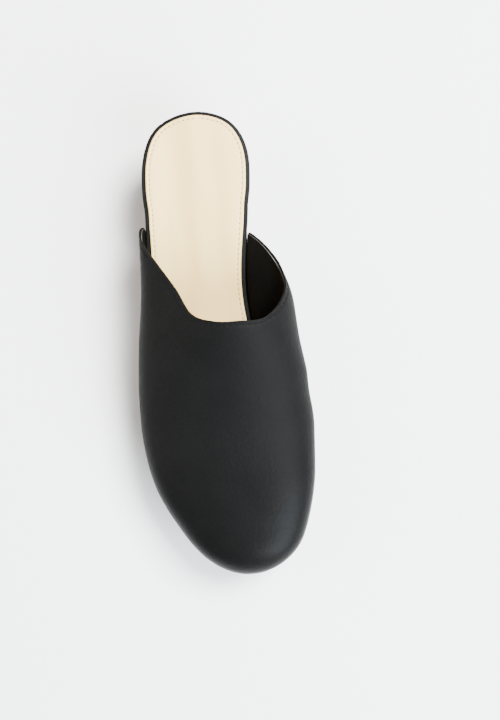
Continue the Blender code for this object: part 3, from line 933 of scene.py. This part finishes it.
@dataclass
class Footbed:
    """Black board and cream sock, with the sock's stitching."""

    last: Last
    board_radius: float = 0.0009
    sock: float = 0.0010
    sock_inset: float = 0.0023
    seam_inset: float = 0.0019
    seam_depth: float = 0.00022
    seam_width: float = 0.0005
    stitch_pitch: float = 0.0027
    stitch_size: Triple = (0.0009, 0.00024, 0.00014)
    stitch_seat: float = 0.8
    # Size of the flat dark discs that paint the shade in the needle holes.
    hole_size: Triple = (0.00042, 0.00034, 0.00012)
    sock_flat: float = 0.0045
    skive: float = 0.0007
    wrap: tuple[float, float] = (0.26, 0.30)

    def board_top(self, plan: Array) -> Array:
        """Upper face of the board."""
        return self.last.footbed(self.last.station_at(plan[:, 1])) - self.last.dish(plan)

    def board_base(self, plan: Array) -> Array:
        """Underside of the board."""
        return self.last.footbed(self.last.station_at(plan[:, 1])) - self.last.board

    def sock_top(self, plan: Array) -> Array:
        """Upper face of the sock."""
        return self.board_top(plan) + self.last.gap + self.sock

    def board_inset(self, station: Array) -> Array:
        """Inset of the board, which meets the lining where the upper wraps round it."""
        return self.last.rim_inset(station) - self.last.gap * 1.05 * smooth(station, *self.wrap)

    def _sock_edge(self) -> list[Knot]:
        """Edge of the sock, thinned outwards, with the trough that its seam draws in."""
        rim = self.last.rim_inset
        inset, seam, width = self.sock_inset, self.seam_inset, self.seam_width
        steps = [self.sock_flat] + [seam + width * 1.8 * (1.0 - k / 6.0) for k in range(13)]
        steps += [self.skive * (1.0 - math.sin(math.pi / 2.0 * k / 5.0)) for k in range(6)]
        knots = []
        for step in steps:
            groove = self.seam_depth * math.exp(-(((step - seam) / width) ** 2))
            round_off = self.sock * 0.75 * (1.0 - math.sqrt(1.0 - max(0.0, 1.0 - step / self.skive) ** 2))
            knots.append(Knot(
                lambda s, step=step: rim(s) + inset + step,
                lambda plan, low=groove + round_off: self.sock_top(plan) - low,
            ))
        knots.append(Knot(lambda s: rim(s) + inset, lambda plan: self.board_top(plan) + self.last.gap))
        return knots

    def _stitches(self, thread: Material, hole_shade: Material) -> None:
        """Stitches in the trough round the sock, and dark discs between them that paint the shade in the
        needle holes.
        """
        angle = np.linspace(0.0, math.pi, 900)
        inset = self.last.rim_inset(self.last.station_of(angle)) + self.sock_inset + self.seam_inset
        lateral = self.last.ring(Side.LATERAL, angle, inset)
        medial = self.last.ring(Side.MEDIAL, angle, inset)[::-1]
        plan = np.concatenate([lateral, medial[1:]])
        points = np.column_stack([plan, self.sock_top(plan) - self.seam_depth * self.stitch_seat])
        normals = np.tile((0.0, 0.0, 1.0), (len(points), 1))
        shape = stitch_row(points, normals, self.stitch_pitch, self.stitch_size)
        settle(finish_object(shape, "sock_stitching", thread), "cream_leather")
        # Flat dark discs between the stitches: painted shade standing for the needle holes.
        shape = stitch_row(points, normals, self.stitch_pitch, self.hole_size, 0.0)
        settle(finish_object(shape, "sock_painted_hole_shade", hole_shade), "cream_leather")

    def build(self) -> None:
        """Make the board, the sock and its stitches."""
        black = LeatherFinish("board_black", (0.0050, 0.0050, 0.0050), (0.0062, 0.0062, 0.0062), 0.45)
        edge = rounded(self.board_inset, self.board_top, self.board_base, self.board_radius)
        board = Layer(self.last, "board_edge", edge, 0.0, 1.0, rows=150)
        board.build(black.material(), "board_leather", "footbed_board")
        sock = Layer(self.last, "sock_cover", self._sock_edge(), 0.0, 1.0, rows=220, top_columns=24)
        sock.build(SockFinish().material(), "cream_leather", "sock")
        thread = ThreadFinish("thread_cream", (0.74, 0.54, 0.24), (0.50, 0.36, 0.16))
        # Dark colour painted as the shade inside the needle holes.
        hole_shade = ThreadFinish("painted_hole_shade", (0.10, 0.065, 0.03), (0.05, 0.03, 0.015))
        self._stitches(thread.material(), hole_shade.material())


@dataclass
class Sole:
    """Wooden platform and heel with their ribbed rubber treads."""

    last: Last
    outsole: float = 0.0025
    outsole_inset: float = 0.0015
    top_piece: float = 0.0030
    heel_top_inset: float = 0.0006
    heel_taper: float = 0.0050
    soft: float = 0.0005
    rim: float = 0.0019
    groove: float = 0.0007
    rib_depth: float = 0.0007
    outsole_pitch: float = 0.0022
    heel_pitch: float = 0.0024

    def wood_top(self, plan: Array) -> Array:
        """Upper face of the platform and the heel."""
        return self.last.footbed(self.last.station_at(plan[:, 1])) - self.last.board - self.last.gap

    def wood_base(self, plan: Array) -> Array:
        """Underside of the platform."""
        return self.outsole_base(plan) + self.outsole + self.last.gap

    def outsole_base(self, plan: Array) -> Array:
        """Underside of the outsole."""
        return self.last.tread(self.last.station_at(plan[:, 1]))

    def _breast(self) -> float:
        """Station of the heel's front face, clear of the platform."""
        return self.last.breast_share - self.last.gap / self.last.length

    def _platform(self, material: Material) -> None:
        """Platform from the heel's breast to the toe."""
        middle = Knot(self.last.rim_inset, lambda plan: self.wood_base(plan) + self.outsole)
        edge = rounded(self.last.rim_inset, self.wood_top, self.wood_base, self.soft)
        low = rounded(lambda s: self.outsole_inset, self.wood_top, self.wood_base, self.soft)
        half = len(edge) // 2
        knots = edge[:half] + [middle] + low[half:]
        layer = Layer(self.last, "platform_wood", knots, self.last.breast_share, 1.0, rows=130)
        layer.build(material, "wood", "platform")

    def _heel(self, material: Material) -> None:
        """Heel block that narrows towards the floor."""
        foot = self.top_piece + self.last.gap

        def knot(share: float, draw: float = 0.0) -> Knot:
            inset = self.heel_taper + (self.heel_top_inset - self.heel_taper) * share + draw
            return Knot(
                lambda s: inset + self.last.rim_inset(s) * share,
                lambda plan: foot + (self.wood_top(plan) - foot) * share,
            )

        knots = [knot(1.0, 0.0004), knot(0.99)] + [knot(k / 8.0) for k in range(7, 0, -1)]
        knots += [knot(0.008), knot(0.0, 0.0003)]
        layer = Layer(self.last, "heel_wood", knots, 0.0, self._breast(), rows=90)
        layer.build(material, "wood", "heel_block")

    def _tread_edge(self, inset: float, top: Curve, base: Curve, pitch: float) -> list[Knot]:
        """Edge of a rubber sheet, with a plain rim round its ribbed field.

        Args:
            inset: inset of its outline.
            top: height of its upper face.
            base: height of its underside.
            pitch: distance from rib to rib.

        Returns:
            The edge's knots.
        """
        field = inset + self.rim + self.groove

        def ribbed(plan: Array) -> Array:
            turn = 2.0 * math.pi * plan[:, 1] / pitch
            return base(plan) + self.rib_depth * (0.5 + 0.5 * np.cos(turn)) ** 1.5

        def sunk(plan: Array) -> Array:
            return base(plan) + self.rib_depth

        profile = (
            (self.soft * 0.4, top),
            (0.0, lambda plan: top(plan) - self.soft * 0.4),
            (0.0, lambda plan: base(plan) + self.soft),
            (self.soft * 0.3, lambda plan: base(plan) + self.soft * 0.3),
            (self.soft, base),
            (self.rim, base),
            (self.rim + self.groove * 0.3, sunk),
            (self.rim + self.groove * 0.7, sunk),
            (field - inset, ribbed),
        )
        return [Knot(lambda s, step=step: inset + step, height) for step, height in profile]

    def build(self) -> None:
        """Make the wooden and the rubber pieces."""
        heel = WoodFinish("heel_grain", (0.187, 0.097, 0.050), (0.085, 0.044, 0.027),
                          (0.045, 0.021, 0.012), (1.0, 1.0, 0.07))
        wood = WoodFinish("platform_grain", (0.20, 0.070, 0.028), (0.085, 0.029, 0.014),
                          (0.04, 0.014, 0.007), (1.0, 0.06, 1.0))
        tan = RubberFinish("outsole_rubber", (0.21, 0.054, 0.0065), (0.34, 0.098, 0.008))
        brown = RubberFinish("heel_rubber", (0.15, 0.034, 0.0062), (0.25, 0.062, 0.008))
        self._platform(wood.material())
        self._heel(heel.material())
        edge = self._tread_edge(self.outsole_inset, lambda plan: self.outsole_base(plan) + self.outsole,
                                self.outsole_base, self.outsole_pitch)
        tread = Layer(self.last, "outsole_tread", edge, self.last.outsole_start, 1.0, 640, 4, 10)
        tread.build(tan.material(), "rubber", "forefoot_outsole")
        edge = self._tread_edge(self.heel_taper, lambda plan: self.top_piece, lambda plan: 0.0,
                                self.heel_pitch)
        tread = Layer(self.last, "heel_tread", edge, 0.0, self._breast(), 300, 4, 10)
        tread.build(brown.material(), "rubber", "heel_top_piece")


@dataclass
class Studs:
    """Domed nails through the margin."""

    last: Last
    radius: float = 0.0036
    height: float = 0.0019
    drop: float = 0.0058
    sunk: float = 0.0007
    stations: tuple[float, ...] = (0.315, 0.441, 0.571, 0.723, 0.864)

    def places(self) -> list[tuple[Vector, Vector]]:
        """Foot and direction of each stud: the lateral ones, the medial ones and the toe's."""
        rows = [(side, station) for side in Side for station in self.stations]
        rows.append((Side.LATERAL, 1.0))
        found = []
        for side, station in rows:
            angle = self.last.angle_of([station])
            out = self.last.square(side, angle)[0]
            margin = self.last.outward(side, angle)[0] * self.last.margin_offset
            foot = self.last.edge(side, angle)[0] + margin + out * self.last.gap
            height = float(self.last.footbed(np.array([station]))[0]) - self.drop
            found.append((Vector((*foot, height)), Vector((*out, 0.0))))
        return found

    def build(self) -> None:
        """Make a dome for each stud node."""
        material = BrassFinish().material()
        for number, (foot, out) in enumerate(self.places(), start=1):
            turn = out.to_track_quat("Z", "Y").to_matrix().to_4x4()
            self._dome(number, Matrix.Translation(foot) @ turn, material)

    def _dome(self, number: int, matrix: Matrix, material: Material) -> None:
        """One stud at its place."""
        shape = bmesh.new()
        bmesh.ops.create_uvsphere(shape, u_segments=40, v_segments=24, radius=self.radius)
        low = [vert for vert in shape.verts if vert.co.z < -0.05 * self.radius]
        bmesh.ops.delete(shape, geom=low, context="VERTS")
        bmesh.ops.scale(shape, verts=shape.verts, vec=(1.0, 1.0, self.height / self.radius))
        rim = [edge for edge in shape.edges if edge.is_boundary]
        skirt = bmesh.ops.extrude_edge_only(shape, edges=rim)["geom"]
        sunk = [item for item in skirt if isinstance(item, bmesh.types.BMVert)]
        bmesh.ops.translate(shape, verts=sunk, vec=(0.0, 0.0, -self.sunk))
        bmesh.ops.holes_fill(shape, edges=shape.edges, sides=0)
        bmesh.ops.transform(shape, matrix=matrix, verts=shape.verts)
        bmesh.ops.recalc_face_normals(shape, faces=shape.faces)
        piece = finish_object(shape, f"stud_dome_{number:02d}", material)
        piece.data.set_sharp_from_angle(angle=SHARP_ANGLE)
        settle(piece, "brass", f"stud_{number:02d}")


class Light(NamedTuple):
    """Square soft light, in degrees, metres and watts, with the medial side at 0 and the heel at 90."""

    name: str
    azimuth: float
    height: float
    size: float
    power: float
    tint: Color


@dataclass
class Studio:
    """Pale floor, soft light and the camera of the photo."""

    floor_size: float = 12.0
    floor_color: Color = (0.82, 0.82, 0.815)
    sky: tuple[tuple[float, Color], ...] = (
        (0.04, (0.10, 0.10, 0.10)),
        (0.30, (0.70, 0.72, 0.75)),
        (0.55, (0.40, 0.41, 0.43)),
        (0.85, (0.13, 0.13, 0.135)),
    )
    lights: tuple[Light, ...] = (
        Light("key", 35.0, 58.0, 0.75, 156.0, (1.0, 1.0, 0.995)),
        Light("fill", 172.0, 30.0, 1.2, 28.0, (1.0, 0.96, 0.88)),
        Light("toe", -50.0, 36.0, 1.2, 118.0, (0.84, 0.93, 1.0)),
    )
    light_distance: float = 1.7
    camera_place: Triple = (0.0128, 0.0080, 0.4875)
    camera_right: Triple = (0.9947, -0.1028, 0.0028)
    camera_up: Triple = (0.1024, 0.9927, 0.0643)
    lens: float = 42.5

    def _floor(self) -> None:
        """Floor that isn't part of the shoe."""
        shape = bmesh.new()
        bmesh.ops.create_grid(shape, x_segments=4, y_segments=4, size=self.floor_size / 2.0)
        paper = Graph.material("floor_paper").close(Base_Color=self.floor_color, Roughness=0.9)
        floor = finish_object(shape, "floor", paper)
        floor.location.z = -0.0001

    def _light(self, row: Light) -> None:
        """Light of a row, turned to the shoe."""
        lamp = bpy.data.lights.new(row.name, "AREA")
        lamp.shape = "SQUARE"
        lamp.size = row.size
        lamp.energy = row.power
        lamp.color = row.tint
        light = bpy.data.objects.new(row.name, lamp)
        turn, rise = math.radians(row.azimuth), math.radians(row.height)
        way = Vector((math.cos(turn) * math.cos(rise), math.sin(turn) * math.cos(rise), math.sin(rise)))
        light.location = way * self.light_distance
        light.rotation_euler = (-way).to_track_quat("-Z", "Y").to_euler()
        bpy.context.scene.collection.objects.link(light)

    def _world(self) -> None:
        """Surroundings that are dark at the floor and overhead, and pale between."""
        world = bpy.data.worlds.new("studio")
        graph = Graph(world)
        direction = graph.node("ShaderNodeTexCoord", {}, {}).outputs["Generated"]
        sky = graph.node("ShaderNodeValToRGB", {"stops": self.sky}, {0: graph.axis(direction, "Z")})
        graph.close(Color=sky.outputs["Color"], Strength=1.0)
        bpy.context.scene.world = world

    def _camera(self) -> None:
        """Camera above the shoe, as in the photo."""
        camera = bpy.data.cameras.new("camera")
        camera.lens = self.lens
        holder = bpy.data.objects.new("camera", camera)
        right, up = Vector(self.camera_right).normalized(), Vector(self.camera_up).normalized()
        back = right.cross(up).normalized()
        up = back.cross(right)
        turn = Matrix((right, up, back)).transposed().to_4x4()
        holder.matrix_world = Matrix.Translation(self.camera_place) @ turn
        bpy.context.scene.collection.objects.link(holder)
        bpy.context.scene.camera = holder

    def build(self) -> None:
        """Make the floor, the lights and the camera."""
        self._floor()
        self._world()
        for row in self.lights:
            self._light(row)
        self._camera()


def main() -> None:
    """Build the studio, then the shoe's pieces in order."""
    logging.basicConfig(level=logging.INFO, format="%(name)s: %(message)s")
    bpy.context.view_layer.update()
    last = Last()
    Studio().build()
    Sole(last).build()
    Footbed(last).build()
    studs = Studs(last)
    UpperPiece(last, studs).build()
    studs.build()


if __name__ == "__main__":
    main()
